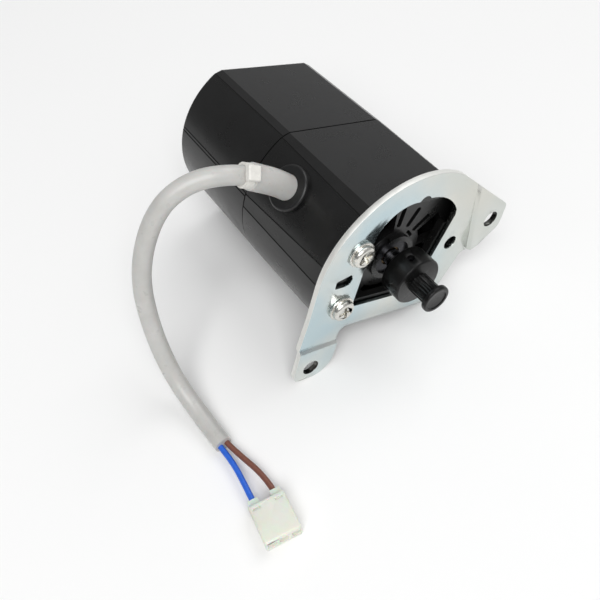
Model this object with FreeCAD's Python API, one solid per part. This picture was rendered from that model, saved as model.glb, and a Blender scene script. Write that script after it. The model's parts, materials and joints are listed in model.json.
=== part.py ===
import FreeCAD, Part
import math
import os

# Small brushed motor with a bracket, a toothed pulley and a short mains lead.
#
# Motor axes, used by every part of the motor: x across the flat of the housing,
# y out of the flat, z along the shaft towards the pulley, zero at the front face
# of the pulley's collar.  seat() then lays the motor down as it rests on a table:
# the shaft level and pointing along -Y, the housing leaning on its round side.
# All lengths are in millimetres.

V = FreeCAD.Vector
Z_AXIS = V(0, 0, 1)

# ---------------------------------------------------------------- resting pose
LEAN = 20.5                     # the flat leans this far towards +X, degrees
AXIS_HEIGHT = 31.51             # shaft axis above the table
AXIS_X = -0.91                  # shaft axis from the middle of the motor's box
COLLAR_Y = -45.725              # collar's front face from the middle of the box

# --------------------------------------------------------------------- housing
FRONT_Z = -12.0                 # front rim, against the bracket
SEAM_Z = -54.7                  # joint between the two halves
REAR_Z = -99.4                  # outer face of the rear wall
WALL = 2.3
RIM_R_FRONT = 31.2              # outer radius at the front rim
RIM_R_SEAM = 31.5
RIM_R_REAR = 31.1
REAR_ROUND = 1.0
FLAT_Y = 24.5                   # flat above the shaft axis
CAVITY_R = 29.1                 # inside radius, over the stator
CAVITY_FLAT = 22.2
SEAM_GAP = 0.25                 # half width of the groove along the joint
SEAM_DEPTH = 0.5
EDGE_GROOVE_R = 0.3             # fine grooves along the corners of the section
GRILLE_Z = -15.0                # front face of the grille
GRILLE_T = 2.5
SLOT_COUNT = 16
SLOT_IN, SLOT_OUT = 10.8, 18.4  # radial ends of a cooling slot
SLOT_W = 1.9
RECESS_LOW_Y = -22.2            # lower end of the recess in front of the grille
LIP_GAP, LIP_T = 0.5, 1.1       # low wall inside the bracket's window
LIP_TOP = -11.5
BOSS_R = 8.4                    # bearing boss
BOSS_Z = -13.0
BOSS_IN_R = 6.6                 # recess in the boss, in front of the bush
BOSS_GAP = 28.0                 # half angle of the two gaps in the boss ring
LONG_SCREW_X = 25.9             # long screws that clamp the halves
LONG_SCREW_R = 1.9
LONG_BOSS_R = 3.6               # posts that the long screws go through

# ------------------------------------------------------------- running gear
SHAFT_R = 2.97
BUSH_BORE_R = 3.0
BUSH_R = 5.0
FRONT_BUSH = (-22.6, -14.6)     # z ends of the front bearing bush
REAR_BUSH = (-97.0, -89.4)
CORE_Z = (-70.0, -46.0)         # z ends of both lamination stacks
STATOR_R = 29.0
STATOR_FLAT = 22.0
BORE_R = 17.6
ROTOR_R = 17.0
ROTOR_SLOTS = 12
FAN_R = 21.6
FAN_Z = (-35.0, -26.5)
FAN_BLADES = 9
COMM_R = 10.0
COMM_Z = (-88.0, -78.0)
COMM_BARS = 12
BRUSH_Z = -83.0
BRUSH_W = 6.0                   # along the shaft
BRUSH_T = 5.0                   # across
BRUSH_FACE_R = 10.35            # brush face from the axis
BRUSH_LEN = 5.0
BRUSH_PLAY = 0.15
HOLDER_IN, HOLDER_OUT = 12.0, 21.0
HOLDER_WALL = 1.0
CAP_R = 19.8                    # inner face of the brush cap, from the axis

# -------------------------------------------------------------------- pulley
COLLAR_R = 8.5
COLLAR_LEN = 8.0
BARREL_LEN = 7.0
TEETH = 12                      # 2.032 mm pitch
TOOTH_TIP_R = 3.63
TOOTH_DEPTH = 0.5
FLANGE_R = 4.9
FLANGE_T = 1.85
SET_SCREW_Z = -3.8
SET_SCREW_ANGLE = 111.7
SET_SCREW_R = 1.25

# -------------------------------------------------------------------- bracket
PLATE_Z = (-12.0, -10.0)
JOGGLE = 1.2                    # the ears stand this far forward of the plate
JOGGLE_RUN = 0.8
RIM_CENTRE = (2.7, -1.3)        # centre of the plate's round edge
RIM_R = 34.5
EAR_HOLES = ((38.4, 9.4), (-26.1, -37.0))
EAR_HOLE_R = 3.0
SPARE_HOLE = (23.0, 2.4)
SPARE_HOLE_R = 2.6
PLATE_SCREWS = ((-18.9, 9.1), (-19.9, -12.6))
SCREW_R = 2.0
WASHER_R = 4.5
WASHER_T = 0.8
HEAD_R = 3.9
HEAD_T = 1.9

# ------------------------------------------------------------- lead and plug
CABLE_R = 3.0
WIRE_R = 0.95
GROMMET_ANGLE = 150.5
GROMMET_Z = -38.5
GROMMET_R = 7.5
GROMMET_H = 1.5
SLEEVE_R = 4.2                  # sleeve on the cable, from the grommet to the tie
PLUG_W, PLUG_L, PLUG_H = 11.8, 12.4, 6.6
PLUG_PITCH = 3.96               # three ways, the outer two in use
PLUG_ENTRY_X = 3.6              # wire entries from the middle
PLUG_WIRE_Z = 3.3
TIE_SHARE = 0.22                # how far along the cable's second bend the tie sits
TIE_FACE = (-0.28, -0.54, 0.80)
PLUG_AT = (-74.9, -66.4)        # middle of the wire-entry face, on the table
PLUG_TURN = -8.0                # the plug is turned this far about Z, degrees


# ------------------------------------------------------------------- helpers
def cyl(radius, z0, z1, x=0.0, y=0.0):
    return Part.makeCylinder(radius, z1 - z0, V(x, y, z0), Z_AXIS)


def ring(outer, inner, z0, z1, x=0.0, y=0.0):
    return cyl(outer, z0, z1, x, y).cut(cyl(inner, z0 - 1, z1 + 1, x, y))


def box(x0, x1, y0, y1, z0, z1):
    return Part.makeBox(x1 - x0, y1 - y0, z1 - z0, V(x0, y0, z0))


def polar(radius, degrees, z=0.0):
    a = math.radians(degrees)
    return V(radius * math.cos(a), radius * math.sin(a), z)


def turned(shape, degrees):
    copy = shape.copy()
    copy.rotate(V(0, 0, 0), Z_AXIS, degrees)
    return copy


def prism(edges, z0, z1):
    face = Part.Face(Part.Wire(edges))
    face.translate(V(0, 0, z0))
    return face.extrude(V(0, 0, z1 - z0))


def sector(inner, outer, a0, a1, z0, z1):
    """Piece of a ring between two angles."""
    mid = 0.5 * (a0 + a1)
    edges = [
        Part.LineSegment(polar(inner, a0), polar(outer, a0)).toShape(),
        Part.Arc(polar(outer, a0), polar(outer, mid), polar(outer, a1)).toShape(),
        Part.LineSegment(polar(outer, a1), polar(inner, a1)).toShape(),
        Part.Arc(polar(inner, a1), polar(inner, mid), polar(inner, a0)).toShape(),
    ]
    return prism(edges, z0, z1)


def radial_slot(r0, r1, width, degrees, z0, z1):
    """Round-ended slot that points away from the shaft."""
    half = width / 2
    body = box(r0 + half, r1 - half, -half, half, z0, z1)
    body = body.fuse([cyl(half, z0, z1, r0 + half), cyl(half, z0, z1, r1 - half)])
    return turned(body, degrees)


def fuse(shapes):
    first, rest = shapes[0], shapes[1:]
    result = first.fuse(rest) if rest else first
    return result.removeSplitter()


def cut(shape, tools):
    return shape.cut(tools)


def rounded_path(corners):
    """Edges through (x, y, radius) corners; the first and last stay sharp."""
    edges = []
    at = V(corners[0][0], corners[0][1], 0)
    for i in range(1, len(corners) - 1):
        x, y, radius = corners[i]
        corner = V(x, y, 0)
        back = (V(corners[i - 1][0], corners[i - 1][1], 0) - corner).normalize()
        ahead = (V(corners[i + 1][0], corners[i + 1][1], 0) - corner).normalize()
        half = back.getAngle(ahead) / 2
        reach = radius / math.tan(half)
        start, end = corner + back * reach, corner + ahead * reach
        bisector = (back + ahead).normalize()
        middle = corner + bisector * (radius / math.sin(half) - radius)
        edges.append(Part.LineSegment(at, start).toShape())
        edges.append(Part.Arc(start, middle, end).toShape())
        at = end
    edges.append(Part.LineSegment(at, V(corners[-1][0], corners[-1][1], 0)).toShape())
    return edges


def seat(shape):
    """Moves a shape from the motor axes to the resting pose."""
    c, s = math.cos(math.radians(LEAN)), math.sin(math.radians(LEAN))
    rest = FreeCAD.Matrix(
        c, s, 0, AXIS_X,
        0, 0, -1, COLLAR_Y,
        -s, c, 0, AXIS_HEIGHT,
        0, 0, 0, 1)
    placed = shape.copy()
    placed.Placement = FreeCAD.Placement(rest).multiply(shape.Placement)
    return placed


def seat_point(point):
    return seat(Part.Vertex(point)).Point


def tube(points, radius, name):
    """Round tube along straight runs joined by tangent arcs; prints its radii."""
    points = [V(*p) for p in points]
    edges, radii, at, length = [], [], points[0], 0.0
    for i in range(1, len(points) - 1):
        back, ahead = points[i - 1] - points[i], points[i + 1] - points[i]
        shorter = min(back.Length, ahead.Length)
        back.normalize()
        ahead.normalize()
        half_turn = (math.pi - back.getAngle(ahead)) / 2
        bend = 0.45 * shorter / math.tan(half_turn)
        reach = 0.45 * shorter
        start, end = points[i] + back * reach, points[i] + ahead * reach
        to_centre = (back + ahead).normalize()
        middle = points[i] + to_centre * (bend / math.cos(half_turn) - bend)
        edges.append(Part.LineSegment(at, start).toShape())
        edges.append(Part.Arc(start, middle, end).toShape())
        length += (start - at).Length + bend * 2 * half_turn
        radii.append(round(bend, 1))
        at = end
    edges.append(Part.LineSegment(at, points[-1]).toShape())
    length += (points[-1] - at).Length
    path = Part.Wire(edges)
    ends = Part.Wire(Part.Circle(points[0], points[1] - points[0], radius).toShape())
    solid = path.makePipeShell([ends], True, True)
    ratio = solid.Volume / (math.pi * radius ** 2 * length)
    print(name, "length", round(length, 1), "radii", radii, "volume ratio", round(ratio, 4))
    return solid


# ------------------------------------------------------------------- housing
def housing_profile(radius, flat_y, flat_x, bevel_x, facet_low, facet_high, z):
    """Round section with one flat, two bevels beside it and a narrow facet each side."""
    def on_circle(y):
        return V(math.sqrt(radius ** 2 - y ** 2), y, z)

    def mirror(p):
        return V(-p.x, p.y, p.z)

    flat = V(flat_x, flat_y, z)
    bevel = V(bevel_x, math.sqrt(radius ** 2 - bevel_x ** 2), z)
    high, low = on_circle(facet_high), on_circle(facet_low)
    a0, a1 = math.atan2(bevel.y, bevel.x), math.atan2(high.y, high.x)
    mid = V(radius * math.cos((a0 + a1) / 2), radius * math.sin((a0 + a1) / 2), z)
    edges = [
        Part.LineSegment(mirror(flat), flat),
        Part.LineSegment(flat, bevel),
        Part.Arc(bevel, mid, high),
        Part.LineSegment(high, low),
        Part.Arc(low, V(0, -radius, z), mirror(low)),
        Part.LineSegment(mirror(low), mirror(high)),
        Part.Arc(mirror(high), mirror(mid), mirror(bevel)),
        Part.LineSegment(mirror(bevel), mirror(flat)),
    ]
    return Part.Wire([e.toShape() for e in edges])


def section(radius, flat_y, flat_x, bevel_x, facet_low, facet_high):
    """Arguments of one housing section, for housing_profile()."""
    return radius, flat_y, flat_x, bevel_x, facet_low, facet_high


FRONT_ENDS = ((section(RIM_R_SEAM, FLAT_Y, 18.7, 21.4, -1.2, 3.6), SEAM_Z),
              (section(RIM_R_FRONT, FLAT_Y - 0.3, 18.5, 22.0, -1.6, 5.6), FRONT_Z))
REAR_ENDS = ((section(RIM_R_REAR, FLAT_Y - 0.2, 18.0, 20.8, 2.6, 3.8), REAR_Z),
             (section(RIM_R_SEAM - 0.1, FLAT_Y, 18.3, 21.0, 2.6, 3.8), SEAM_Z))


def housing_outside(ends):
    """Outside of one half, drawn between its two sections."""
    return Part.makeLoft([housing_profile(*sizes, z) for sizes, z in ends], True, True)


def section_corners(sizes, z):
    """Left-hand corners of a section: bevel, facet top and facet bottom."""
    radius, flat_y, flat_x, bevel_x, facet_low, facet_high = sizes
    corners = [(bevel_x, math.sqrt(radius ** 2 - bevel_x ** 2))]
    corners += [(math.sqrt(radius ** 2 - y ** 2), y) for y in (facet_high, facet_low)]
    return [V(-x, y, z) for x, y in corners]


def edge_grooves(ends):
    """Fine round grooves that run along the corners from end to end."""
    grooves = []
    for a, b in zip(section_corners(*ends[0]), section_corners(*ends[1])):
        for low, high in ((a, b), (V(-a.x, a.y, a.z), V(-b.x, b.y, b.z))):
            along = (high - low).normalize()
            grooves.append(Part.makeCylinder(
                EDGE_GROOVE_R, (high - low).Length + 2, low - along, along))
    return grooves


def seam_groove(sizes, z0, z1):
    """Shallow groove all round the section, between two heights."""
    radius, flat_y, flat_x, bevel_x, facet_low, facet_high = sizes
    inner = section(radius - SEAM_DEPTH, flat_y - SEAM_DEPTH, flat_x, bevel_x, facet_low, facet_high)
    core = Part.Face(housing_profile(*inner, z0 - 1)).extrude(V(0, 0, z1 - z0 + 2))
    return box(-40, 40, -40, 40, z0, z1).cut(core)


def d_shape(radius, flat_y, z0, z1):
    """Round bar with one flat."""
    x = math.sqrt(radius ** 2 - flat_y ** 2)
    edges = [
        Part.LineSegment(V(x, flat_y, 0), V(-x, flat_y, 0)).toShape(),
        Part.Arc(V(-x, flat_y, 0), V(0, -radius, 0), V(x, flat_y, 0)).toShape(),
    ]
    return prism(edges, z0, z1)


def grommet_axis():
    return polar(1, GROMMET_ANGLE)


def grommet_bar(radius, r0, r1):
    """Cylinder along the cable's exit, between two distances from the shaft."""
    start = polar(r0, GROMMET_ANGLE, GROMMET_Z)
    return Part.makeCylinder(radius, r1 - r0, start, grommet_axis())


def grille_openings():
    z0, z1 = GRILLE_Z - GRILLE_T - 1, GRILLE_Z + 1
    step = 360 / SLOT_COUNT
    slots = [radial_slot(SLOT_IN, SLOT_OUT, SLOT_W, step * k, z0, z1) for k in (2, 3, 4)]
    left = sector(9.4, 19.2, 99, 152, z0, z1)
    right = sector(12.2, 21.5, 8, 36, z0, z1)
    right_low = sector(12.2, 21.5, -40, 3, z0, z1)
    bottom = sector(13.0, 21.5, 240, 300, z0, z1)
    crescent = sector(8.9, 10.1, 36, 58, z0, z1)
    return slots + [left, right, right_low, bottom, crescent]


def lower_front_slant():
    """Wedge taken off the lower front edge, behind the bracket's straight side."""
    face = Part.Face(Part.makePolygon([
        V(-40, -23.6, FRONT_Z), V(-40, -36.8, -23.8), V(-40, -36.8, -5), V(-40, -23.6, -5),
        V(-40, -23.6, FRONT_Z)]))
    return face.extrude(V(80, 0, 0))


def window_lip():
    """Low wall that stands inside the bracket's window along its foot and right side."""
    window = Part.Face(Part.Wire(window_outline()))
    wall = window.makeOffset2D(-LIP_GAP).cut(window.makeOffset2D(-LIP_GAP - LIP_T))
    wall = wall.extrude(V(0, 0, LIP_TOP - GRILLE_Z + 1.9))
    wall.translate(V(0, 0, GRILLE_Z - 1.9))
    foot = box(-13.0, 25, -20, -9, -30, 0)
    right = box(9, 25, -20, 11.0, -30, 0)
    return wall.common(foot.fuse(right))


def front_housing():
    wall_z = GRILLE_Z - GRILLE_T
    recess = d_shape(CAVITY_R - 0.4, CAVITY_FLAT - 0.4, GRILLE_Z, FRONT_Z + 1)
    recess = recess.common(box(-40, 40, RECESS_LOW_Y, 40, -30, 0))
    shell = cut(housing_outside(FRONT_ENDS), [
        d_shape(CAVITY_R, CAVITY_FLAT, SEAM_Z - 1, wall_z), recess, lower_front_slant(),
        seam_groove(FRONT_ENDS[0][0], SEAM_Z - 1, SEAM_Z + SEAM_GAP)] + edge_grooves(FRONT_ENDS))
    solids = [shell, cyl(BOSS_R, FRONT_BUSH[0], BOSS_Z), window_lip()]
    for x, y in PLATE_SCREWS:
        solids.append(cyl(4.0, -23.0, FRONT_Z, x, y))
    for side in (-1, 1):
        solids.append(cyl(LONG_BOSS_R, -35.5, wall_z, side * LONG_SCREW_X, 0))
    body = fuse(solids)
    holes = [cyl(BUSH_R, FRONT_BUSH[0] - 1, FRONT_BUSH[1]),
             cyl(BOSS_IN_R, FRONT_BUSH[1], BOSS_Z + 1),
             grommet_bar(5.2, 20, 40)]
    for middle in (142, 322):
        holes.append(sector(BOSS_IN_R - 1, BOSS_R + 0.6, middle - BOSS_GAP, middle + BOSS_GAP,
                            GRILLE_Z + 0.2, BOSS_Z + 1))
    for x, y in PLATE_SCREWS:
        holes.append(cyl(SCREW_R, -21.5, FRONT_Z + 1, x, y))
    for side in (-1, 1):
        holes.append(cyl(LONG_SCREW_R, -36, -22, side * LONG_SCREW_X, 0))
    return cut(body, holes + grille_openings())


def rear_housing():
    wall_z = REAR_Z + WALL
    outer = housing_outside(REAR_ENDS)
    rim = [e for e in outer.Edges if abs(e.CenterOfMass.z - REAR_Z) < 0.01]
    shell = cut(outer.makeFillet(REAR_ROUND, rim), [
        d_shape(CAVITY_R - 0.6, CAVITY_FLAT - 0.3, wall_z, SEAM_Z + 1),
        d_shape(CAVITY_R, CAVITY_FLAT, CORE_Z[0] - 0.2, SEAM_Z + 1),
        seam_groove(REAR_ENDS[1][0], SEAM_Z - SEAM_GAP, SEAM_Z + 1)] + edge_grooves(REAR_ENDS))
    solids = [shell, cyl(BOSS_R, wall_z, REAR_BUSH[1])]
    for side in (-1, 1):
        solids.append(cyl(LONG_BOSS_R, wall_z, -76.0, side * LONG_SCREW_X, 0))
    for k in range(4):
        post = polar(18.0, 65.5 + 90 * k)
        solids.append(cyl(1.8, wall_z, -89.6, post.x, post.y))
    body = fuse(solids)
    holes = [cyl(BUSH_R, REAR_BUSH[0], REAR_BUSH[1] + 1)]
    for side in (-1, 1):
        holes.append(cyl(LONG_SCREW_R + 0.2, REAR_Z - 1, -75, side * LONG_SCREW_X, 0))
        holes.append(cyl(3.5, REAR_Z - 1, REAR_Z + 1.6, side * LONG_SCREW_X, 0))
    step = 360 / SLOT_COUNT
    for k in range(SLOT_COUNT):
        if k not in (0, 8):
            holes.append(radial_slot(11.0, 19.0, SLOT_W + 0.3, step * k, REAR_Z - 1, wall_z + 0.5))
    return cut(body, holes)


def long_screws():
    """Two long screws that clamp the housing halves on the stator."""
    screws = []
    for side in (-1, 1):
        x = side * LONG_SCREW_X
        head = cyl(3.3, REAR_Z - 0.9, REAR_Z + 1.6, x, 0)
        slot = box(x - 3.5, x + 3.5, -0.5, 0.5, REAR_Z - 1.5, REAR_Z + 0.2)
        shank = cyl(LONG_SCREW_R, REAR_Z + 1.5, -22.0, x, 0)
        screws.append(fuse([head.cut(slot), shank]))
    return screws


# ----------------------------------------------------------------- stator
def stator_core():
    core = d_shape(STATOR_R, STATOR_FLAT, *CORE_Z).common(
        box(-40, 40, -STATOR_FLAT, 40, CORE_Z[0], CORE_Z[1]))
    holes = [cyl(BORE_R, CORE_Z[0] - 1, CORE_Z[1] + 1)]
    for middle in (52, 128, 232, 308):
        holes.append(sector(BORE_R - 1, 24.2, middle - 12, middle + 12,
                            CORE_Z[0] - 1, CORE_Z[1] + 1))
    for side in (-1, 1):
        holes.append(cyl(LONG_SCREW_R + 0.3, CORE_Z[0] - 1, CORE_Z[1] + 1, side * LONG_SCREW_X, 0))
    return cut(core, holes)


def field_coil(middle):
    """Saddle coil round one pole: two sides in the core and a turn over each end."""
    reach = 5.6
    low, high = CORE_Z[0] - reach, CORE_Z[1] + reach
    sides = [sector(18.6, 23.7, middle + s * 52 - 8, middle + s * 52 + 8, low, high)
             for s in (-1, 1)]
    turns = [sector(18.6, 23.7, middle - 60, middle + 60, z0, z1)
             for z0, z1 in ((low, CORE_Z[0] - 0.4), (CORE_Z[1] + 0.4, high))]
    return fuse(sides + turns)


# ------------------------------------------------------------- armature
def shaft():
    bar = cyl(SHAFT_R, -96.6, 5.0)
    return bar.cut(ring(SHAFT_R + 1, SHAFT_R - 0.4, -98, -96.2))


def rotor_core():
    core = ring(ROTOR_R, SHAFT_R, *CORE_Z)
    slots = []
    for k in range(ROTOR_SLOTS):
        angle = 360 / ROTOR_SLOTS * k
        slots.append(radial_slot(9.0, 15.8, 4.2, angle, CORE_Z[0] - 1, CORE_Z[1] + 1))
        slots.append(turned(box(14, 18, -0.9, 0.9, CORE_Z[0] - 1, CORE_Z[1] + 1), angle))
    return cut(core, slots)


def armature_winding():
    bars = [radial_slot(9.2, 15.6, 3.8, 360 / ROTOR_SLOTS * k, CORE_Z[0] - 1, CORE_Z[1] + 1)
            for k in range(ROTOR_SLOTS)]
    ends = [ring(15.4, 7.5, CORE_Z[1] + 0.3, CORE_Z[1] + 4.8),
            ring(15.4, 7.5, CORE_Z[0] - 5.0, CORE_Z[0] - 0.3)]
    leads = [turned(box(9.2, 10.6, -0.6, 0.6, -77.4, CORE_Z[0] - 3), 360 / COMM_BARS * (k + 0.5))
             for k in range(COMM_BARS)]
    return fuse(ends + bars + leads)


def commutator_hub():
    return ring(6.5, SHAFT_R, COMM_Z[0], COMM_Z[1] + 1.5)


def commutator_bars():
    half = 360 / COMM_BARS / 2 - 1.6
    bars = []
    for k in range(COMM_BARS):
        middle = 360 / COMM_BARS * (k + 0.5)
        face = sector(6.5, COMM_R, middle - half, middle + half, *COMM_Z)
        riser = sector(6.5, 11.4, middle - half, middle + half, COMM_Z[1] - 0.9, COMM_Z[1] + 0.4)
        bars.append(fuse([face, riser]))
    return bars


def cooling_fan():
    hub = ring(7.5, SHAFT_R, FAN_Z[0], FAN_Z[1])
    disc = ring(FAN_R - 1.0, SHAFT_R, FAN_Z[0], FAN_Z[0] + 1.6)
    blades = []
    for k in range(FAN_BLADES):
        angle = 360 / FAN_BLADES * k
        blade = box(6.5, FAN_R - 0.4, -0.6, 0.6, FAN_Z[0] + 1, FAN_Z[1])
        blade.rotate(V(6.5, 0, 0), Z_AXIS, 12)
        blades.append(turned(blade, angle))
    round_bar = cyl(FAN_R, FAN_Z[0] - 1, FAN_Z[1] + 1)
    return fuse([hub, disc] + blades).common(round_bar).cut(cyl(SHAFT_R, FAN_Z[0] - 1, FAN_Z[1] + 1))


def drive_pulley():
    """Collar, toothed barrel and end flange in one piece, on a blind bore."""
    collar = cyl(COLLAR_R, -COLLAR_LEN, 0)
    rims = [e for e in collar.Edges if e.Curve.TypeId == "Part::GeomCircle"]
    collar = collar.makeChamfer(0.4, rims)
    barrel = cyl(TOOTH_TIP_R, -0.5, BARREL_LEN + 0.2)
    gaps = []
    for k in range(TEETH):
        groove = cyl(0.62, 0, BARREL_LEN, TOOTH_TIP_R - TOOTH_DEPTH + 0.62, 0)
        gaps.append(turned(groove, 360 / TEETH * k))
    barrel = barrel.cut(gaps)
    flange = cyl(FLANGE_R, BARREL_LEN, BARREL_LEN + FLANGE_T)
    rims = [e for e in flange.Edges if e.Curve.TypeId == "Part::GeomCircle"]
    flange = flange.makeFillet(0.55, rims)
    dish = cyl(FLANGE_R - 1.3, BARREL_LEN + FLANGE_T - 0.25, BARREL_LEN + FLANGE_T + 1)
    body = fuse([collar, barrel, flange.cut(dish)])
    bore = cyl(SHAFT_R, -COLLAR_LEN - 1, 5.0)
    hole = Part.makeCylinder(SET_SCREW_R, 12, V(0, 0, SET_SCREW_Z),
                             polar(1, SET_SCREW_ANGLE))
    return body.cut([bore, hole])


def pulley_set_screw():
    axis = polar(1, SET_SCREW_ANGLE)
    start = axis * SHAFT_R + V(0, 0, SET_SCREW_Z)
    screw = Part.makeCylinder(SET_SCREW_R, 4.2, start, axis)
    screw = screw.cut(cyl(SHAFT_R, -20, 20))
    socket = Part.makeCylinder(0.65, 1.6, start + axis * 2.8, axis)
    return screw.cut(socket)


def thrust_washers():
    return [ring(4.8, SHAFT_R, FAN_Z[1] + 0.05, FAN_Z[1] + 1.0),
            ring(4.8, SHAFT_R, COMM_Z[0] - 0.85, COMM_Z[0] - 0.05)]


# -------------------------------------------------------------- bearings
def bearing_bush(ends):
    return ring(BUSH_R, BUSH_BORE_R, *ends)


def front_dust_ring():
    """Pressed steel ring that keeps the front bush in its seat."""
    return ring(BOSS_IN_R, SHAFT_R + 0.6, FRONT_BUSH[1], FRONT_BUSH[1] + 0.6)


# ------------------------------------------------------------- brush gear
def brush_bar(r0, r1, width, depth):
    """Square bar along the brush axis, which stands upright when the motor rests."""
    half_w, half_d = width / 2, depth / 2
    bar = box(r0, r1, -half_w, half_w, BRUSH_Z - half_d, BRUSH_Z + half_d)
    return turned(bar, 90 + LEAN)


def brush_holder():
    outer = brush_bar(HOLDER_IN, HOLDER_OUT, BRUSH_T + 2 * (HOLDER_WALL + BRUSH_PLAY),
                      BRUSH_W + 2 * (HOLDER_WALL + BRUSH_PLAY))
    return outer.cut(brush_bar(HOLDER_IN - 1, HOLDER_OUT + 1, BRUSH_T + 2 * BRUSH_PLAY,
                               BRUSH_W + 2 * BRUSH_PLAY))


def carbon_brush():
    bar = brush_bar(BRUSH_FACE_R, BRUSH_FACE_R + BRUSH_LEN, BRUSH_T, BRUSH_W)
    return bar.cut(cyl(COMM_R + 0.35, COMM_Z[0] - 5, COMM_Z[1] + 5))


def brush_cap():
    plug = brush_bar(CAP_R, HOLDER_OUT, BRUSH_T + 2 * BRUSH_PLAY, BRUSH_W + 2 * BRUSH_PLAY)
    tab = brush_bar(HOLDER_OUT, HOLDER_OUT + 0.5, BRUSH_T + 1.5, BRUSH_W + 1.5)
    return fuse([plug, tab])


def brush_spring():
    """Light coil spring between the brush and its cap."""
    start, end = BRUSH_FACE_R + BRUSH_LEN + 0.1, CAP_R - 0.1
    wire_r, coil_r, turns = 0.25, 1.7, 4
    helix = Part.makeHelix((end - start - 2 * wire_r) / turns, end - start - 2 * wire_r, coil_r)
    section = Part.Wire(Part.Circle(V(coil_r, 0, 0), V(0, 1, 0), wire_r).toShape())
    coil = helix.makePipeShell([section], True, True)
    coil.rotate(V(0, 0, 0), V(0, 1, 0), 90)
    coil.translate(V(start + wire_r, 0, BRUSH_Z))
    return turned(coil, 90 + LEAN)


def brush_carrier():
    plate = ring(21.5, 11.8, -89.4, -87.4)
    holes = []
    for k in range(4):
        post = polar(18.0, 65.5 + 90 * k)
        holes.append(cyl(0.9, -95, -80, post.x, post.y))
    return plate.cut(holes)


# ---------------------------------------------------------------- bracket
def plate_outline():
    cx, cy = RIM_CENTRE
    left = V(cx - RIM_R, cy, 0)
    top = V(*RIM_CENTRE, 0) + polar(RIM_R, 68)
    middle = V(*RIM_CENTRE, 0) + polar(RIM_R, 124)
    rest = rounded_path([
        (top.x, top.y, 0), (44.0, 14.6, 3.0), (44.9, 5.4, 3.5), (37.2, -2.6, 5.0),
        (31.4, -4.0, 3.0), (24.4, -24.75, 1.0), (-17.2, -22.4, 3.4), (-17.2, -42.3, 7.4),
        (-32.3, -42.3, 3.0), (-32.3, -27.0, 20.0), (left.x, -16.0, 20.0), (left.x, left.y, 0)])
    return [Part.Arc(left, middle, top).toShape()] + rest


def window_outline():
    """Window behind the pulley: an arch on a straight left side, foot and right side."""
    foot, arch_left, arch_top = V(-14.9, 10.5, 0), V(-11.4, 19.7, 0), V(-0.7, 23.9, 0)
    arch_right, shoulder = V(10.2, 23.4, 0), V(18.9, 17.0, 0)
    sides = rounded_path([
        (shoulder.x, shoulder.y, 0), (19.4, 14.8, 1.5), (13.2, -16.0, 1.2),
        (-14.9, -14.0, 1.0), (foot.x, foot.y, 0)])
    return [Part.Arc(foot, arch_left, arch_top).toShape(),
            Part.Arc(arch_top, arch_right, shoulder).toShape()] + sides


# Five-cornered hole beside the lower plate screw.
KEY_HOLE = ((-25.15, -1.9, 0), (-25.2, -0.4, 0.6), (-19.7, 1.1, 0.8), (-18.7, -0.9, 0.8),
            (-19.3, -2.8, 0.8), (-21.1, -3.4, 0.8), (-25.1, -3.3, 0.5), (-25.15, -1.9, 0))


def bent_sheet(direction, start):
    """Sheet that steps forward by JOGGLE past a line square to the direction."""
    z0, z1 = PLATE_Z
    end = start + JOGGLE_RUN
    section = Part.makePolygon([
        V(start - 0.01, 0, z0), V(start, 0, z0), V(end, 0, z0 + JOGGLE), V(90, 0, z0 + JOGGLE),
        V(90, 0, z1 + JOGGLE), V(end, 0, z1 + JOGGLE), V(start, 0, z1), V(start - 0.01, 0, z1),
        V(start - 0.01, 0, z0)])
    sheet = Part.Face(section).extrude(V(0, 120, 0))
    sheet.translate(V(0, -60, 0))
    return turned(sheet, direction)


def beyond(direction, start):
    return turned(box(start, 90, -60, 60, -30, 10), direction)


def mounting_plate():
    z0, z1 = PLATE_Z
    tall = prism(plate_outline(), z0 - 2, z1 + 4)
    bends = ((18.5, 31.3), (270.0, 28.0))
    flat = prism(plate_outline(), z0, z1).cut([beyond(*b) for b in bends])
    right_box = box(10, 60, -20, 40, -30, 10)
    low_box = box(-50, 0, -60, -20, -30, 10)
    ears = [tall.common(beyond(*b)).common(bent_sheet(*b)).common(keep)
            for b, keep in zip(bends, (right_box, low_box))]
    holes = [prism(window_outline(), z0 - 3, z1 + 5),
             cyl(2.4, z0 - 3, z1 + 5, 1.9, 23.2),
             cyl(SPARE_HOLE_R, z0 - 3, z1 + 5, *SPARE_HOLE)]
    holes.append(prism(rounded_path(KEY_HOLE), z0 - 3, z1 + 5))
    holes += [cyl(EAR_HOLE_R, z0 - 3, z1 + 5, x, y) for x, y in EAR_HOLES]
    holes += [cyl(SCREW_R + 0.2, z0 - 3, z1 + 5, x, y) for x, y in PLATE_SCREWS]
    return cut(fuse([flat] + ears), holes)


def plate_washers():
    z0 = PLATE_Z[1]
    return [ring(WASHER_R, SCREW_R + 0.1, z0, z0 + WASHER_T, x, y) for x, y in PLATE_SCREWS]


def plate_screw(x, y, turn):
    """Pan-head screw with a cross recess."""
    seat_z = PLATE_Z[1] + WASHER_T
    head = cyl(HEAD_R, seat_z, seat_z + HEAD_T, x, y)
    top_rim = [e for e in head.Edges
               if e.Curve.TypeId == "Part::GeomCircle" and e.CenterOfMass.z > seat_z + 1]
    head = head.makeFillet(1.3, top_rim)
    recess = [box(-2.5, 2.5, -0.5, 0.5, seat_z + HEAD_T - 1.2, seat_z + HEAD_T + 1)]
    recess.append(box(-0.5, 0.5, -2.5, 2.5, seat_z + HEAD_T - 1.2, seat_z + HEAD_T + 1))
    for arm in recess:
        arm.rotate(V(0, 0, 0), Z_AXIS, turn)
        arm.translate(V(x, y, 0))
    return fuse([head.cut(recess), cyl(SCREW_R, -21.0, seat_z + 0.2, x, y)])


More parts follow.
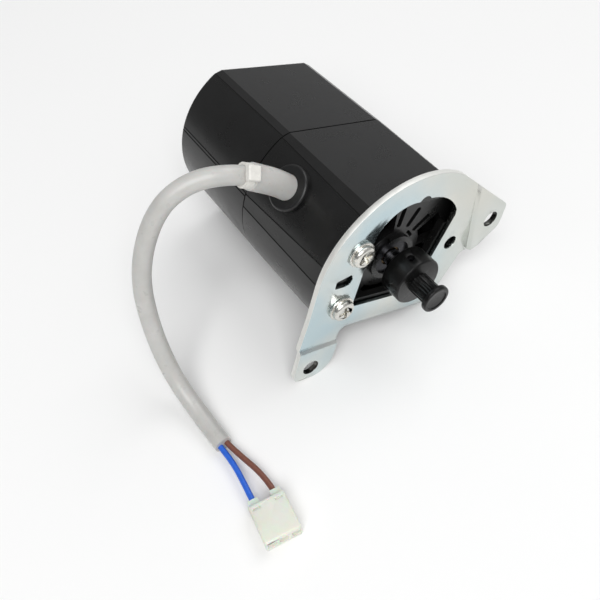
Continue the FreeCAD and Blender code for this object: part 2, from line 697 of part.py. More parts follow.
# -------------------------------------------------------------- lead and plug
def cable_grommet():
    outside = grommet_bar(GROMMET_R, 29.0, RIM_R_SEAM + GROMMET_H)
    rim = [e for e in outside.Edges if e.Curve.TypeId == "Part::GeomCircle"
           and e.CenterOfMass.dot(grommet_axis()) > 30]
    outside = outside.makeFillet(0.9, rim).cut(housing_outside(FRONT_ENDS))
    neck = grommet_bar(5.2, 28.0, 32.5)
    inside = grommet_bar(6.4, 26.4, 29.6).common(cyl(CAVITY_R, -60, 0))
    bore = grommet_bar(CABLE_R, 20, 45)
    return fuse([outside, neck, inside]).cut(bore)


def cable_route():
    """From inside the grommet, out and over in an arch, then down to the table."""
    start = seat_point(polar(26.6, GROMMET_ANGLE, GROMMET_Z))
    turn = seat_point(polar(39.0, GROMMET_ANGLE, GROMMET_Z))
    return [tuple(start), tuple(turn)] + CABLE_POINTS


# Middle line of the cable past its first straight stretch, in the resting frame.
CABLE_POINTS = [
    (-37.0, -6.5, 71.0), (-50.0, -2.0, 72.5), (-62.0, 0.0, 66.0), (-72.5, -1.0, 48.5),
    (-76.5, -5.0, 29.0), (-78.0, -14.0, 12.5), (-77.0, -27.0, 3.0), (-76.0, -42.0, 3.0)]

BLUE_POINTS = [
    (-77.6, -35.0, 3.0), (-77.2, -41.5, 3.0), (-76.7, -50.0, 3.1), (-77.5, -58.0, 3.3),
    (-78.4, -65.3, 3.3), (-79.1, -70.5, 3.3)]
BROWN_POINTS = [
    (-75.4, -35.0, 3.0), (-75.0, -41.5, 3.0), (-73.3, -49.5, 3.1), (-71.6, -56.4, 3.3),
    (-71.0, -64.3, 3.3), (-72.0, -71.5, 3.3)]


def plug_place(shape):
    placed = shape.copy()
    placed.rotate(V(0, 0, 0), Z_AXIS, PLUG_TURN)
    placed.translate(V(PLUG_AT[0], PLUG_AT[1], 0))
    return placed


def connector_housing():
    """Three-way nylon housing; wires enter at y = 0 and three sockets face -Y."""
    half = PLUG_W / 2
    body = box(-half, half, -PLUG_L, 0, 0, PLUG_H)
    along = [e for e in body.Edges if abs(e.tangentAt(0).y) > 0.9]
    body = body.makeFillet(0.6, along)
    upright = [e for e in body.Edges if abs(e.tangentAt(0).z) > 0.9 and e.Length > PLUG_H / 2
               and e.CenterOfMass.y < -PLUG_L / 2]
    body = body.makeFillet(0.8, upright) if upright else body
    parts, holes = [body], []
    low, high = PLUG_WIRE_Z - 1.1, PLUG_WIRE_Z + 1.1
    for side in (-1, 1):
        x = side * PLUG_ENTRY_X
        parts.append(box(x - 1.7, x + 1.7, -1, 2.4, PLUG_WIRE_Z - 1.7, PLUG_WIRE_Z + 1.7))
        holes.append(Part.makeCylinder(WIRE_R + 0.1, 12, V(x, 4, PLUG_WIRE_Z), V(0, -1, 0)))
        holes.append(box(x - 1.2, x + 1.2, -1.9, -1.2, PLUG_H - 0.8, PLUG_H + 1))
    for way in (-1, 0, 1):
        x = way * PLUG_PITCH
        holes.append(box(x - 1.1, x + 1.1, -PLUG_L - 1, -4.0, low, high))
        holes.append(box(x - 1.4, x + 1.4, -PLUG_L - 1, -PLUG_L + 1.0, low - 0.3, high + 0.3))
    return plug_place(fuse(parts).cut(holes))


def connector_terminals():
    terminals = []
    for x in (-PLUG_PITCH, PLUG_PITCH):
        body = box(x - 1.0, x + 1.0, -11.0, -5.1, PLUG_WIRE_Z - 1.0, PLUG_WIRE_Z + 1.0)
        socket = box(x - 0.7, x + 0.7, -12.0, -7.0, PLUG_WIRE_Z - 0.6, PLUG_WIRE_Z + 0.6)
        terminals.append(plug_place(body.cut(socket)))
    return terminals


def tie_middle(points):
    """Where the tie sits on the cable's second bend, and the cable's direction there."""
    before, corner, after = (V(*p) for p in points[1:4])
    back, ahead = before - corner, after - corner
    reach = 0.45 * min(back.Length, ahead.Length)
    start, end = corner + back.normalize() * reach, corner + ahead.normalize() * reach
    t = TIE_SHARE
    middle = start * (1 - t) ** 2 + corner * (2 * t * (1 - t)) + end * t ** 2
    along = (corner - start) * (1 - t) + (end - corner) * t
    return middle, along.normalize()


def cable_sleeve(points):
    """Thicker round-ended sleeve on the cable, between the grommet and the tie."""
    inner = seat_point(polar(32.2, GROMMET_ANGLE, GROMMET_Z))
    middle, along = tie_middle(points)
    outer = tube([tuple(inner), points[1], tuple(middle - along * 1.0)], SLEEVE_R, "cable_sleeve")
    rims = [e for e in outer.Edges if e.Curve.TypeId == "Part::GeomCircle"
            and abs(e.Curve.Radius - SLEEVE_R) < 0.01 and e.Length > 6 * SLEEVE_R]
    ends = [e for e in rims if (e.CenterOfMass - inner).Length < 0.1
            or (e.CenterOfMass - middle).Length < 1.2]
    return outer.makeFillet(0.9, ends)


def cable_tie(points):
    """Tie drawn tight round the cable, with its square head on one side."""
    centre, along = tie_middle(points)
    band = Part.makeCylinder(CABLE_R + 0.8, 2.6, centre - along * 1.3, along)
    side = along.cross(V(*TIE_FACE)).normalize()
    upward = side.cross(along).normalize()
    head = Part.makeBox(4.6, 4.2, 2.4)
    head = head.makeFillet(0.5, head.Edges)
    frame = FreeCAD.Matrix(
        side.x, along.x, upward.x, 0, side.y, along.y, upward.y, 0,
        side.z, along.z, upward.z, 0, 0, 0, 0, 1)
    head.Placement = FreeCAD.Placement(frame)
    head.translate(centre - side * 2.3 - along * 1.9 + upward * (CABLE_R + 0.1))
    return fuse([band, head])


def internal_leads():
    """The two leads behind the grommet: one to the near coil, one round to the capacitor."""
    radius, path_r, z = 0.9, 22.7, -37.9
    near = Part.makeCylinder(radius, 3.4, polar(25.4, GROMMET_ANGLE, z - 1.5), V(0, 0, -1))
    arc = Part.Arc(polar(path_r, 151, z), polar(path_r, 200, z), polar(path_r, 252, z)).toShape()
    end = Part.Wire(Part.Circle(polar(path_r, 151, z), polar(1, 241), radius).toShape())
    around = Part.Wire(arc).makePipeShell([end], True, True)
    out = Part.makeCylinder(radius, 26.4 - path_r, polar(path_r, 151, z), polar(1, 151))
    return [near, fuse([around, out])]


def suppression_capacitor():
    body = box(-5.5, 5.5, -28.0, -23.4, -44.5, -32.5)
    return body.makeFillet(0.5, body.Edges)


# --------------------------------------------------------------------- output
def build():
    route = cable_route()
    motor = {
        "front_housing": [front_housing()],
        "rear_housing": [rear_housing()],
        "housing_screws": long_screws(),
        "mounting_plate": [mounting_plate()],
        "plate_washers": plate_washers(),
        "plate_screws": [plate_screw(*PLATE_SCREWS[0], 35), plate_screw(*PLATE_SCREWS[1], 15)],
        "stator_core": [stator_core()],
        "field_coil_left": [field_coil(180)],
        "field_coil_right": [field_coil(0)],
        "motor_shaft": [shaft()],
        "rotor_core": [rotor_core()],
        "armature_winding": [armature_winding()],
        "commutator_hub": [commutator_hub()],
        "commutator_bars": commutator_bars(),
        "cooling_fan": [cooling_fan()],
        "thrust_washers": thrust_washers(),
        "drive_pulley": [drive_pulley()],
        "pulley_set_screw": [pulley_set_screw()],
        "front_bearing": [bearing_bush(FRONT_BUSH)],
        "rear_bearing": [bearing_bush(REAR_BUSH)],
        "front_dust_ring": [front_dust_ring()],
        "brush_carrier": [brush_carrier()],
        "internal_leads": internal_leads(),
        "suppression_capacitor": [suppression_capacitor()],
        "cable_grommet": [cable_grommet()],
    }
    for name, turn in (("upper", 0), ("lower", 180)):
        motor["brush_holder_" + name] = [turned(brush_holder(), turn)]
        motor["carbon_brush_" + name] = [turned(carbon_brush(), turn)]
        motor["brush_spring_" + name] = [turned(brush_spring(), turn)]
        motor["brush_cap_" + name] = [turned(brush_cap(), turn)]
    nodes = {name: [seat(s) for s in shapes] for name, shapes in motor.items()}

    blue, brown = tube(BLUE_POINTS, WIRE_R, "wire_blue"), tube(BROWN_POINTS, WIRE_R, "wire_brown")
    cable = tube(route, CABLE_R, "cable_sheath").cut([blue, brown])
    nodes["cable_sheath"] = [cable]
    nodes["wire_blue"] = [blue]
    nodes["wire_brown"] = [brown]
    inside = tube(route, CABLE_R, "inside of the tie and the sleeve")
    nodes["cable_tie"] = [cable_tie(route).cut(inside)]
    nodes["cable_sleeve"] = [cable_sleeve(route).cut([inside, seat(cable_grommet())])]
    nodes["connector_housing"] = [connector_housing()]
    nodes["connector_terminals"] = connector_terminals()
    return nodes


def main():
    os.makedirs("parts", exist_ok=True)
    nodes = build()
    lead = ("cable_sheath", "wire_blue", "wire_brown", "cable_tie", "cable_sleeve",
            "cable_grommet", "connector_housing", "connector_terminals")
    fixed = Part.makeCompound([s for n, shapes in nodes.items() if n not in lead for s in shapes])
    around = fixed.optimalBoundingBox(False)
    print("motor box", around)
    for name, shapes in nodes.items():
        for shape in shapes:
            if not shape.isValid() or len(shape.Solids) != 1:
                print("check", name, "valid", shape.isValid(), "solids", len(shape.Solids))
        whole = shapes[0] if len(shapes) == 1 else Part.makeCompound(shapes)
        whole.exportStep("parts/" + name + ".step")
    print(len(nodes), "nodes")


main()
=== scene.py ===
"""Looks of a small motor with a bracket, a toothed pulley and a short lead, in metres."""

import json
import math

import bmesh
import bpy
from mathutils import Matrix, Vector


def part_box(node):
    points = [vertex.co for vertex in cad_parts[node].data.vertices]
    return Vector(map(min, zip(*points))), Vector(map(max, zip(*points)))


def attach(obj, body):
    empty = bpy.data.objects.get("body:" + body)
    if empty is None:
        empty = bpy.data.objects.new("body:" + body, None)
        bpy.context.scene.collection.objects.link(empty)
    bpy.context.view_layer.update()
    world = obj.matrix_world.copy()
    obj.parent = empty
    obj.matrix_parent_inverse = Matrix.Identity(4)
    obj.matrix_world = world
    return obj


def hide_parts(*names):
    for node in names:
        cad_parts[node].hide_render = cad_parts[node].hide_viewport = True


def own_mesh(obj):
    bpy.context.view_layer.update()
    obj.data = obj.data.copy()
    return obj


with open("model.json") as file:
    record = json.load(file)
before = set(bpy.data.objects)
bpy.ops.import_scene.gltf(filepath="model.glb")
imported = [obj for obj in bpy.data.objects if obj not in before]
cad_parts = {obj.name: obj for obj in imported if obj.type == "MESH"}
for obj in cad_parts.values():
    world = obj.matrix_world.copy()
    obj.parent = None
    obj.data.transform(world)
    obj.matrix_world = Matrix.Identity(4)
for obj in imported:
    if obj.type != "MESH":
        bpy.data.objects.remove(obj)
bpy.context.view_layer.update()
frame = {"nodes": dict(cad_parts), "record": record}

MM = 0.001
LEAN = math.radians(20.5)           # the housing is turned this far about the shaft
DIM_SIDE, BRIGHT_SIDE = 0.24, 0.46  # room brightness on the left and on the right
KEY_POWER, FRONT_POWER = 7.0, 37.0
LENS = 42.04
CAMERA_PLACE, CAMERA_AIM = (-0.09523, -0.14626, 0.20674), (-0.03368, -0.02746, 0.030)
CAMERA_ROLL = math.radians(-8.4)
CABLE_EXIT = 150.5                  # angle of the cable's exit round the shaft
CABLE_EXIT_Z = -38.5                # the exit's place along the shaft, in millimetres
CABLE_START_R, CABLE_BEND_R = 26.6, 39.0    # where the cable leaves the grommet, and bends
COLLAR_TO_TIP = 8.85 * MM           # barrel and flange stand this far out of the collar
PLATE_MIDDLE = (0.00116, 0, 0.02935)    # centre of the plate's round edge
PLATE_EDGE_FROM = 0.0336            # walls further out than this are the plate's outer edge
EAR_HOLES = [(0.03835, 0, 0.02687), (-0.03831, 0, 0.00599)]     # seen along the shaft
EAR_HOLE_REACH = 0.0036
FINE = 0.00001                      # depth of drawing lines and grain


# ------------------------------------------------------------------ positions
def middle(node):
    low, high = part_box(node)
    return (low + high) / 2


SHAFT = middle("motor_shaft")
PULLEY_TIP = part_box("drive_pulley")[0].y
COLLAR_FRONT = PULLEY_TIP + COLLAR_TO_TIP


def motor_matrix():
    """Motor axes: x across the flat, y out of the flat, z along the shaft from the collar."""
    c, s = math.cos(LEAN), math.sin(LEAN)
    return Matrix((
        (c, s, 0, SHAFT.x), (0, 0, -1, COLLAR_FRONT), (-s, c, 0, SHAFT.z), (0, 0, 0, 1)))


def motor(x, y, z):
    """A point given in millimetres on the motor axes."""
    return motor_matrix() @ (Vector((x, y, z)) * MM)


def polar(radius, degrees, z):
    a = math.radians(degrees)
    return motor(radius * math.cos(a), radius * math.sin(a), z)


# ------------------------------------------------------- camera, floor, light
def looking(place, aim):
    """A camera's or lamp's matrix at one point, turned to another."""
    place, aim = Vector(place), Vector(aim)
    turn = (aim - place).to_track_quat("-Z", "Y").to_matrix().to_4x4()
    return Matrix.Translation(place) @ turn


def add_camera():
    camera = bpy.data.objects.new("camera", bpy.data.cameras.new("camera"))
    bpy.context.scene.collection.objects.link(camera)
    camera.data.lens = LENS
    camera.data.sensor_width = 36.0
    camera.data.clip_start = 0.01
    camera.matrix_world = looking(CAMERA_PLACE, CAMERA_AIM) @ Matrix.Rotation(CAMERA_ROLL, 4, "Z")
    bpy.context.scene.camera = camera


def area_light(name, place, aim, size, power):
    light = bpy.data.lights.new(name, "AREA")
    light.shape, light.size, light.energy = "SQUARE", size, power
    lamp = bpy.data.objects.new(name, light)
    bpy.context.scene.collection.objects.link(lamp)
    lamp.matrix_world = looking(place, aim)


def add_stage():
    bpy.ops.mesh.primitive_plane_add(size=6, location=(0, 0, 0))
    floor = bpy.context.object
    floor.name = "floor"
    paper = Tree("floor_paper")
    shade = paper.ramp(paper.noise(3, 3), (0.3, (0.915, 0.915, 0.91)), (0.7, (0.93, 0.93, 0.925)))
    paper.set("Base Color", shade)
    paper.set("Roughness", 0.85)
    floor.data.materials.append(paper.material)
    world = bpy.data.worlds.new("studio")
    world.use_nodes = True
    sky = world.node_tree.nodes["Background"]
    place = world.node_tree.nodes.new("ShaderNodeTexCoord").outputs["Generated"]
    split = world.node_tree.nodes.new("ShaderNodeSeparateXYZ")
    shade = world.node_tree.nodes.new("ShaderNodeMapRange")
    shade.inputs["From Min"].default_value, shade.inputs["From Max"].default_value = -0.75, 0.75
    shade.inputs["To Min"].default_value, shade.inputs["To Max"].default_value = DIM_SIDE, BRIGHT_SIDE
    world.node_tree.links.new(place, split.inputs["Vector"])
    world.node_tree.links.new(split.outputs["X"], shade.inputs["Value"])
    world.node_tree.links.new(shade.outputs["Result"], sky.inputs["Strength"])
    sky.inputs["Color"].default_value = (0.985, 0.99, 1.0, 1)
    bpy.context.scene.world = world
    bpy.context.scene.view_settings.view_transform = "Standard"
    area_light("key", (0.9, 0.2, 1.5), (0, 0, 0.02), 1.0, KEY_POWER)
    area_light("front", (-0.7, -1.1, 1.8), (-0.02, 0, 0.02), 1.6, FRONT_POWER)


# ------------------------------------------------------------------ materials
class Tree:
    """Short calls that build the nodes of one material."""

    def __init__(self, name):
        self.material = bpy.data.materials.new(name)
        self.material.use_nodes = True
        self.nodes = self.material.node_tree.nodes
        self.links = self.material.node_tree.links
        self.shader = self.nodes["Principled BSDF"]
        self.place = self.node("ShaderNodeTexCoord").outputs["Object"]

    def node(self, kind, inputs=(), **settings):
        made = self.nodes.new(kind)
        for key, value in settings.items():
            setattr(made, key, value)
        for key, value in dict(inputs).items():
            self.join(value, made.inputs[key])
        return made

    def join(self, value, socket):
        if isinstance(value, bpy.types.NodeSocket):
            self.links.new(value, socket)
        else:
            socket.default_value = value

    def set(self, socket, value):
        if isinstance(value, tuple) and len(value) == 3 and socket.endswith("Color"):
            value = (*value, 1)
        self.join(value, self.shader.inputs[socket])

    def stretched(self, scale):
        return self.node("ShaderNodeMapping", {"Vector": self.place, "Scale": scale}).outputs["Vector"]

    def noise(self, scale, detail=4.0, rough=0.5, place=None):
        made = self.node("ShaderNodeTexNoise", {
            "Vector": place or self.place, "Scale": scale, "Detail": detail, "Roughness": rough})
        return made.outputs["Fac"]

    def cells(self, scale):
        made = self.node("ShaderNodeTexVoronoi", {"Vector": self.place, "Scale": scale})
        return made.outputs["Distance"]

    def reach(self, centre):
        """Distance from a line along the shaft through the centre."""
        made = self.node("ShaderNodeVectorMath", operation="DISTANCE")
        self.join(self.stretched((1, 0, 1)), made.inputs[0])
        self.join(centre, made.inputs[1])
        return made.outputs["Value"]

    def ramp(self, factor, *stops):
        made = self.node("ShaderNodeValToRGB", {"Fac": factor})
        elements = made.color_ramp.elements
        while len(elements) < len(stops):
            elements.new(0.5)
        for element, (at, colour) in zip(elements, stops):
            element.position = at
            element.color = (*colour, 1) if isinstance(colour, tuple) else (colour,) * 3 + (1,)
        return made.outputs["Color"]

    def mix(self, factor, first, second, blend="MIX"):
        made = self.node("ShaderNodeMix", data_type="RGBA", blend_type=blend)
        for value, socket in ((factor, made.inputs[0]), (first, made.inputs[6]), (second, made.inputs[7])):
            if isinstance(value, tuple) and len(value) == 3:
                value = (*value, 1)
            self.join(value, socket)
        return made.outputs[2]

    def math(self, operation, first, second=0.0):
        made = self.node("ShaderNodeMath", operation=operation)
        self.join(first, made.inputs[0])
        self.join(second, made.inputs[1])
        return made.outputs[0]

    def bump(self, height, depth, strength=1.0, over=None):
        made = self.node("ShaderNodeBump", {"Height": height, "Distance": depth, "Strength": strength})
        if over is not None:
            self.links.new(over, made.inputs["Normal"])
        return made.outputs["Normal"]

    def relief(self, *layers):
        """Bump layers, each (height, depth, strength), one over the other."""
        normal = None
        for height, depth, strength in layers:
            normal = self.bump(height, depth, strength, normal)
        self.set("Normal", normal)


def moulded_black(name, tone=0.0055, rough=(0.26, 0.34), grain=2600, specular=0.42):
    """Black moulding: fine spark-eroded grain, faint handling marks and a little dust."""
    t = Tree(name)
    marks = t.noise(90, 5, 0.6)
    dust = t.ramp(t.noise(1500, 2), (0.70, 0.0), (0.80, 1.0))
    base = t.ramp(marks, (0.3, (tone, tone, tone * 0.97)), (0.7, (tone * 1.35,) * 3))
    t.set("Base Color", t.mix(t.math("MULTIPLY", dust, 0.10), base, (0.07, 0.07, 0.068)))
    t.set("Roughness", t.ramp(marks, (0.35, rough[0]), (0.65, rough[1])))
    t.set("Specular IOR Level", specular)
    t.relief((t.noise(grain, 3), 0.00002, 0.30), (t.noise(45, 2), 0.0002, 0.04))
    return t.material


def zinc(name, tone, tint, rough=(0.24, 0.38), along=(1, 1, 1), punched_with_painted_light=False):
    """Zinc plating: cloudy tint, fine rolling lines and small pits; punched edges are dull. On the plate the
    outer rim is also painted near-white as a painted highlight, and the ear-hole walls are painted dark as
    painted shade.
    """
    t = Tree(name)
    cloud = t.noise(38, 3, 0.5)
    lines = t.noise(900, 3, 0.6, t.stretched(along))
    base = t.mix(t.ramp(cloud, (0.38, 0.0), (0.62, 1.0)), tone, tint)
    pits = t.ramp(t.cells(420), (0.05, 1.0), (0.10, 0.0))
    gloss = t.ramp(lines, (0.3, rough[0]), (0.7, rough[1]))
    if punched_with_painted_light:
        across = t.node("ShaderNodeSeparateXYZ", {"Vector": t.place}).outputs["X"]
        warm = t.ramp(t.math("MULTIPLY", across, 20.0), (0.10, 0.0), (0.55, 1.0))
        base = t.mix(t.math("MULTIPLY", warm, 0.75), base, (0.64, 0.635, 0.58))
    base = t.mix(t.math("MULTIPLY", pits, 0.25), base, (0.22, 0.23, 0.24))
    if punched_with_painted_light:
        # Painted highlight: the plate's outer rim is painted near-white; it is also made rougher.
        side = t.node("ShaderNodeSeparateXYZ", {"Vector": t.node("ShaderNodeNewGeometry").outputs["Normal"]})
        rim_highlight_and_dullness = t.ramp(t.math("ABSOLUTE", side.outputs["Y"]), (0.35, 1.0), (0.75, 0.0))
        rim_highlight_and_dullness = t.math("MULTIPLY", rim_highlight_and_dullness, t.math("GREATER_THAN", t.reach(PLATE_MIDDLE), PLATE_EDGE_FROM))
        for hole in EAR_HOLES:
            # Painted shade: the walls of the ear holes are painted dark instead of taking the bright rim.
            hole_wall_shade = t.math("MULTIPLY", rim_highlight_and_dullness, t.math("LESS_THAN", t.reach(hole), EAR_HOLE_REACH))
            rim_highlight_and_dullness = t.math("SUBTRACT", rim_highlight_and_dullness, hole_wall_shade)
            base = t.mix(hole_wall_shade, base, (0.16, 0.16, 0.15))
        base = t.mix(rim_highlight_and_dullness, base, (0.93, 0.93, 0.90))
        gloss = t.mix(rim_highlight_and_dullness, gloss, (0.62, 0.62, 0.62))
    t.set("Base Color", base)
    t.set("Metallic", 1.0)
    t.set("Roughness", gloss)
    t.relief((lines, FINE, 0.30), (t.noise(220, 2), 0.00004, 0.20))
    return t.material


def metal(name, tone, rough=(0.25, 0.4), scale=700, along=(1, 1, 1)):
    t = Tree(name)
    lines = t.noise(scale, 3, 0.6, t.stretched(along))
    dark = tuple(c * 0.78 for c in tone)
    t.set("Base Color", t.ramp(lines, (0.3, dark), (0.7, tone)))
    t.set("Metallic", 1.0)
    t.set("Roughness", t.ramp(lines, (0.3, rough[0]), (0.7, rough[1])))
    t.relief((lines, FINE, 0.5))
    return t.material


def soft_plastic(name, tone, spread=0.06, rough=0.42, scale=400):
    t = Tree(name)
    cloud = t.noise(scale, 4, 0.55)
    dark = tuple(c * (1 - spread) for c in tone)
    t.set("Base Color", t.ramp(cloud, (0.35, dark), (0.65, tone)))
    t.set("Roughness", t.ramp(t.noise(160, 3), (0.3, rough - 0.05), (0.7, rough + 0.06)))
    t.relief((t.noise(scale * 4, 2), FINE, 0.4))
    return t.material


def sheath_grey():
    """Flexible sheath with faint drawing lines and smudges."""
    t = Tree("sheath_grey")
    smudge = t.noise(120, 4, 0.6)
    t.set("Base Color", t.ramp(smudge, (0.35, (0.49, 0.485, 0.465)), (0.65, (0.545, 0.54, 0.52))))
    t.set("Roughness", t.ramp(t.noise(300, 3), (0.3, 0.26), (0.7, 0.36)))
    t.set("Subsurface Weight", 0.08)
    t.set("Subsurface Scale", 0.002)
    t.relief((t.noise(1800, 3), FINE, 0.4), (t.noise(150, 2), 0.0002, 0.12))
    return t.material


def clear_nylon():
    """Natural nylon, slightly see-through, with flow marks."""
    t = Tree("connector_nylon")
    flow = t.noise(180, 3, 0.5)
    t.set("Base Color", t.ramp(flow, (0.3, (0.93, 0.90, 0.79)), (0.7, (0.96, 0.94, 0.85))))
    t.set("Roughness", t.ramp(flow, (0.3, 0.30), (0.7, 0.42)))
    t.set("IOR", 1.5)
    t.set("Transmission Weight", 0.2)
    t.set("Subsurface Weight", 0.45)
    t.set("Subsurface Scale", 0.004)
    t.relief((t.noise(900, 2), 0.00002, 0.3))
    return t.material


def winding(name, tone):
    """Enamelled wire, seen as fine round strands; the valleys between strands are painted dark as painted
    shade.
    """
    t = Tree(name)
    strands = t.node("ShaderNodeTexWave", {"Vector": t.place, "Scale": 900.0, "Distortion": 1.5,
                                           "Detail": 2.0, "Detail Scale": 1.0},
                     wave_type="RINGS", rings_direction="Y").outputs["Fac"]
    dark = tuple(c * 0.35 for c in tone)
    # Painted shade: the copper darkens towards the valleys between strands.
    t.set("Base Color", t.ramp(strands, (0.15, dark), (0.6, tone)))
    t.set("Metallic", 0.75)
    t.set("Roughness", t.ramp(strands, (0.2, 0.45), (0.8, 0.25)))
    t.relief((strands, 0.0002, 0.8))
    return t.material


def laminated(name, tone):
    """Stacked steel sheets: fine dark lines across the shaft."""
    t = Tree(name)
    sheets = t.node("ShaderNodeTexWave", {"Vector": t.place, "Scale": 314.0, "Distortion": 0.0},
                    wave_type="BANDS", bands_direction="Y").outputs["Fac"]
    dark = tuple(c * 0.45 for c in tone)
    t.set("Base Color", t.ramp(sheets, (0.10, dark), (0.35, tone)))
    t.set("Metallic", 0.9)
    t.set("Roughness", t.ramp(t.noise(300, 3), (0.3, 0.35), (0.7, 0.55)))
    t.relief((sheets, 0.00005, 0.6))
    return t.material


AROUND_SHAFT = (0.05, 1, 0.05)
FINISHES = {
    "black_housing": lambda: moulded_black("black_housing"),
    "zinc_plate": lambda: zinc(
        "zinc_plate", (0.69, 0.70, 0.665), (0.53, 0.64, 0.675), (0.14, 0.26), (0.06, 1, 1), True),
    "zinc_screw": lambda: zinc("zinc_screw", (0.78, 0.76, 0.70), (0.70, 0.69, 0.65), (0.20, 0.34)),
    "core_steel": lambda: laminated("core_steel", (0.30, 0.31, 0.33)),
    "copper_winding": lambda: winding("copper_winding", (0.50, 0.19, 0.08)),
    "shaft_steel": lambda: metal("shaft_steel", (0.30, 0.30, 0.31), (0.18, 0.3), along=AROUND_SHAFT),
    "brown_moulding": lambda: soft_plastic("brown_moulding", (0.13, 0.055, 0.03), 0.2),
    "commutator_copper": lambda: metal("commutator_copper", (0.72, 0.36, 0.20), along=AROUND_SHAFT),
    "fan_plastic": lambda: moulded_black("fan_plastic", 0.006, (0.4, 0.5)),
    "pulley_black": lambda: moulded_black("pulley_black", 0.0035, (0.24, 0.34), 3400, 0.28),
    "set_screw_steel": lambda: metal("set_screw_steel", (0.045, 0.045, 0.05)),
    "bearing_bronze": lambda: metal("bearing_bronze", (0.22, 0.15, 0.08), (0.4, 0.55), 1200),
    "lead_insulation": lambda: soft_plastic("lead_insulation", (0.70, 0.68, 0.62)),
    "capacitor_yellow": lambda: soft_plastic("capacitor_yellow", (0.75, 0.50, 0.08)),
    "grommet_rubber": lambda: soft_plastic("grommet_rubber", (0.007, 0.007, 0.0072), 0.3, 0.36),
    "brass_holder": lambda: metal("brass_holder", (0.74, 0.53, 0.20)),
    "carbon": lambda: soft_plastic("carbon", (0.035, 0.035, 0.038), 0.4, 0.6, 1500),
    "spring_steel": lambda: metal("spring_steel", (0.5, 0.5, 0.5)),
    "sheath_grey": sheath_grey,
    "wire_blue": lambda: soft_plastic("wire_blue", (0.022, 0.13, 0.66), 0.15, 0.34, 900),
    "wire_brown": lambda: soft_plastic("wire_brown", (0.20, 0.075, 0.05), 0.15, 0.34, 900),
    "tie_nylon": lambda: soft_plastic("tie_nylon", (0.78, 0.765, 0.72), 0.08, 0.30),
    "connector_nylon": clear_nylon,
    "terminal_tin": lambda: metal("terminal_tin", (0.72, 0.71, 0.68)),
}
made_finishes = {}


def finish(slot):
    if slot not in made_finishes:
        made_finishes[slot] = FINISHES[slot]()
    return made_finishes[slot]


SLOT_OF = {part["node"]: part["material_slot"] for part in frame["record"]["subparts"]}
BODY_OF = {n: body for body, nodes in frame["record"]["behaviour"]["bodies"].items() for n in nodes}


def dress(node):
    """Gives a carried-over CAD node the finish of its own slot."""
    piece = frame["nodes"][node]
    if not piece.material_slots:
        piece.data.materials.append(None)
    for slot in piece.material_slots:
        slot.link = "OBJECT"
        slot.material = finish(SLOT_OF[node])


# ------------------------------------------------------------------ mesh work
def new_piece(name, mesh, slot, body):
    piece = bpy.data.objects.new(name, mesh)
    bpy.context.scene.collection.objects.link(piece)
    mesh.materials.clear()
    mesh.materials.append(finish(slot))
    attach(piece, body)
    return piece


def softened(node, width, segments=2, limit=32):
    """A copy of a CAD piece with its sharp edges rounded, shown in its place."""
    mesh = frame["nodes"][node].data.copy()
    work = bmesh.new()
    work.from_mesh(mesh)
    bmesh.ops.remove_doubles(work, verts=work.verts, dist=2e-6)
    bmesh.ops.dissolve_limit(work, angle_limit=math.radians(0.6), verts=work.verts, edges=work.edges)
    work.to_mesh(mesh)
    work.free()
    mesh.shade_smooth()
    piece = new_piece(node + "_finished", mesh, SLOT_OF[node], BODY_OF[node])
    rounding = piece.modifiers.new("rounding", "BEVEL")
    rounding.width, rounding.segments = width * MM, segments
    rounding.limit_method, rounding.angle_limit = "ANGLE", math.radians(limit)
    rounding.harden_normals = True
    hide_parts(node)
    return piece


def add_spring(side):
    """A copy of a brush spring, shaded smooth, shown in place of the CAD spring."""
    node, joint = "brush_spring_" + side, "brush_" + side + "_slide"
    spring = new_piece(node + "_coil", frame["nodes"][node].data.copy(), SLOT_OF[node], BODY_OF[node])
    spring.data.shade_smooth()
    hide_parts(node)
    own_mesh(spring)


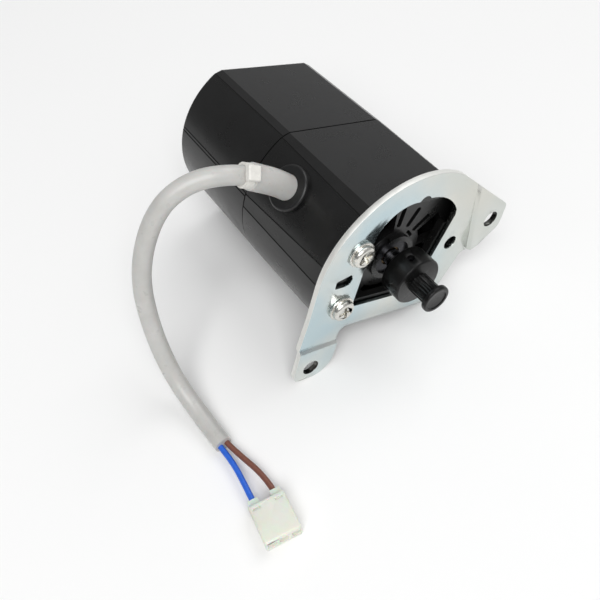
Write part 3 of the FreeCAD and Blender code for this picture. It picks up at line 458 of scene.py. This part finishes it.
def tube_curve(name, points, radius, slot):
    """A round cord on a smooth open spline."""
    data = bpy.data.curves.new(name, "CURVE")
    data.dimensions = "3D"
    data.bevel_depth, data.bevel_resolution, data.resolution_u = radius, 8, 14
    data.use_fill_caps = True
    spline = data.splines.new("NURBS")
    spline.points.add(len(points) - 1)
    for point, place in zip(spline.points, points):
        point.co = (*place, 1)
        point.radius = 1.0
    spline.order_u = 3
    spline.use_endpoint_u = True
    data.materials.append(finish(slot))
    piece = bpy.data.objects.new(name, data)
    bpy.context.scene.collection.objects.link(piece)
    return piece


# ----------------------------------------------------------------------- lead
CABLE_R, WIRE_R = 3.0 * MM, 0.95 * MM
CABLE_POINTS = [
    (-0.0370, -0.0065, 0.0710), (-0.0500, -0.0020, 0.0725), (-0.0620, 0.0000, 0.0660),
    (-0.0725, -0.0010, 0.0485), (-0.0765, -0.0050, 0.0290), (-0.0780, -0.0140, 0.0125),
    (-0.0770, -0.0270, 0.0030), (-0.0760, -0.0420, 0.0030)]
BLUE_POINTS = [
    (-0.0776, -0.0350, 0.0030), (-0.0772, -0.0415, 0.0030), (-0.0767, -0.0500, 0.0031),
    (-0.0775, -0.0580, 0.0033), (-0.0784, -0.0653, 0.0033), (-0.0791, -0.0705, 0.0033)]
BROWN_POINTS = [
    (-0.0754, -0.0350, 0.0030), (-0.0750, -0.0415, 0.0030), (-0.0733, -0.0495, 0.0031),
    (-0.0716, -0.0564, 0.0033), (-0.0710, -0.0643, 0.0033), (-0.0720, -0.0715, 0.0033)]


def lay_lead():
    route = [tuple(polar(radius, CABLE_EXIT, CABLE_EXIT_Z)) for radius in (CABLE_START_R, CABLE_BEND_R)]
    route += CABLE_POINTS
    cable = tube_curve("cable_sheath_round", route, CABLE_R, "sheath_grey")
    blue = tube_curve("wire_blue_round", BLUE_POINTS, WIRE_R, "wire_blue")
    brown = tube_curve("wire_brown_round", BROWN_POINTS, WIRE_R, "wire_brown")
    for piece, node, slot in ((cable, "cable_sheath", "sheath_grey"), (blue, "wire_blue", "wire_blue"),
                              (brown, "wire_brown", "wire_brown")):
        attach(piece, "stator")
        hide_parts(node)


add_camera()
add_stage()
lay_lead()

for name, width in (("mounting_plate", 0.3), ("plate_screws", 0.15), ("plate_washers", 0.15),
                    ("drive_pulley", 0.15), ("connector_housing", 0.25)):
    softened(name, width)

for side in ("upper", "lower"):
    add_spring(side)

for node in frame["nodes"]:
    dress(node)
